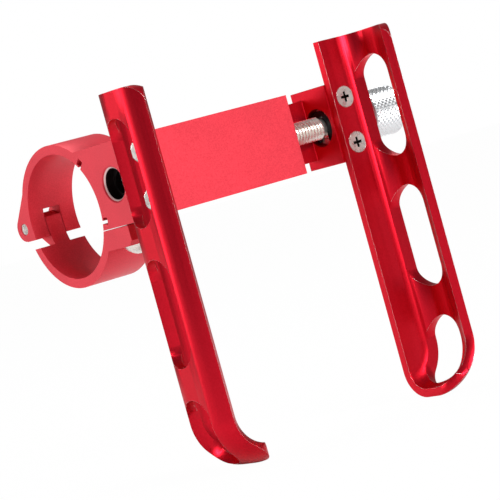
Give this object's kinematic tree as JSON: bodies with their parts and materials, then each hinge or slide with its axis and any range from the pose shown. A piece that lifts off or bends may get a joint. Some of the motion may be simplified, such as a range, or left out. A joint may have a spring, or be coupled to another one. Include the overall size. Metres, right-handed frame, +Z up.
{
  "type": "bottle cage",
  "caption": "Adjustable bottle cage: a hinged handlebar clamp carries a body, a screw-driven slider and two channel arms with hooked feet.",
  "frame": {"origin": "centre of the handlebar bore, midway across the clamp", "axes": "+X along the handlebar from the clamp towards the knob, +Y back through the bar away from the bottle, +Z up"},
  "size_m": [0.0959, 0.0718, 0.0946],
  "materials": {
    "red_anodised": "fine blasted, red anodised",
    "bright_steel": "nickel plated",
    "bare_aluminium": "bright, knurled",
    "black_steel": "black oxide"
  },
  "bodies": {
    "frame": {"body": "red_anodised", "left_arm": "red_anodised", "left_screw_upper": "bright_steel", "left_screw_lower": "bright_steel", "hinge_pin": "bright_steel"},
    "jaw": {"clamp_jaw": "red_anodised", "clamp_bolt": "bright_steel"},
    "slider": {"slider_block": "red_anodised", "right_arm": "red_anodised", "right_screw_upper": "bright_steel", "right_screw_lower": "bright_steel", "knob_washer": "bright_steel", "retaining_washer": "bright_steel"},
    "adjuster": {"adjuster_screw": "bright_steel", "knob": "bare_aluminium", "retaining_clip": "black_steel"}
  },
  "joints": [
    {"name": "jaw_hinge", "type": "hinge", "parent": "frame", "child": "jaw", "pos_m": [0, 0.0197, -0.0004], "axis": [1, 0, 0], "range_deg": [0, 100]},
    {"name": "arm_slide", "type": "slide", "parent": "frame", "child": "slider", "axis": [1, 0, 0], "range_m": [-0.0119, 0.01]},
    {"name": "screw_turn", "type": "hinge", "parent": "slider", "child": "adjuster", "pos_m": [0.0665, -0.02435, 0.0045], "axis": [1, 0, 0], "range_deg": [-4290, 3605]}
  ],
  "couplings": [
    {"joint": "screw_turn", "follows": "arm_slide", "rad_per_m": 6283.2}
  ]
}
